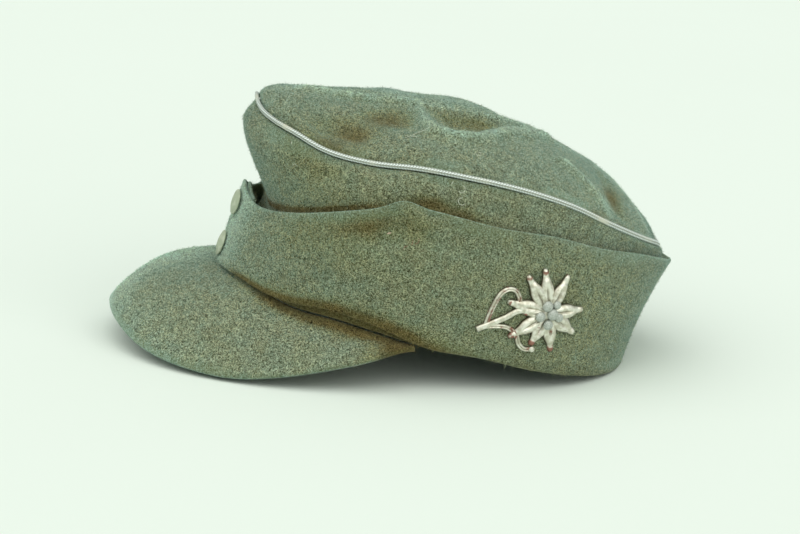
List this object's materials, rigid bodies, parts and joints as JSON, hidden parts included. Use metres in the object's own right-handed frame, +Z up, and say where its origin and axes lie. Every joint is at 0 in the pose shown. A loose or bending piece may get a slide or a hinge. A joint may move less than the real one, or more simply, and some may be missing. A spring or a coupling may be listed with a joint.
{
  "type": "mountain cap",
  "caption": "Peaked cap of felted wool with a turned-up flap buttoned at the front, a dented crown with a corded seam and a flower badge on the side.",
  "frame": {"origin": "on the table the cap rests on, under the middle of its length and width", "axes": "+Z up, -Y towards the front of the peak, +X towards the wearer's left, where the badge is"},
  "size_m": [0.18, 0.287, 0.1308],
  "materials": {
    "wool": "fuzzy felted wool",
    "braid": "silver metal-thread braid",
    "button_paint": "worn satin, fine pebbled grain",
    "badge_metal": "worn white metal with traces of red-brown lacquer",
    "pin_wire": "plain wire"
  },
  "bodies": {
    "root": {"crown_wall": "wool", "crown_top": "wool", "piping": "braid", "flap": "wool", "peak": "wool", "button_lower": "button_paint", "button_upper": "button_paint", "badge": "badge_metal", "badge_pin": "pin_wire"}
  },
  "joints": []
}
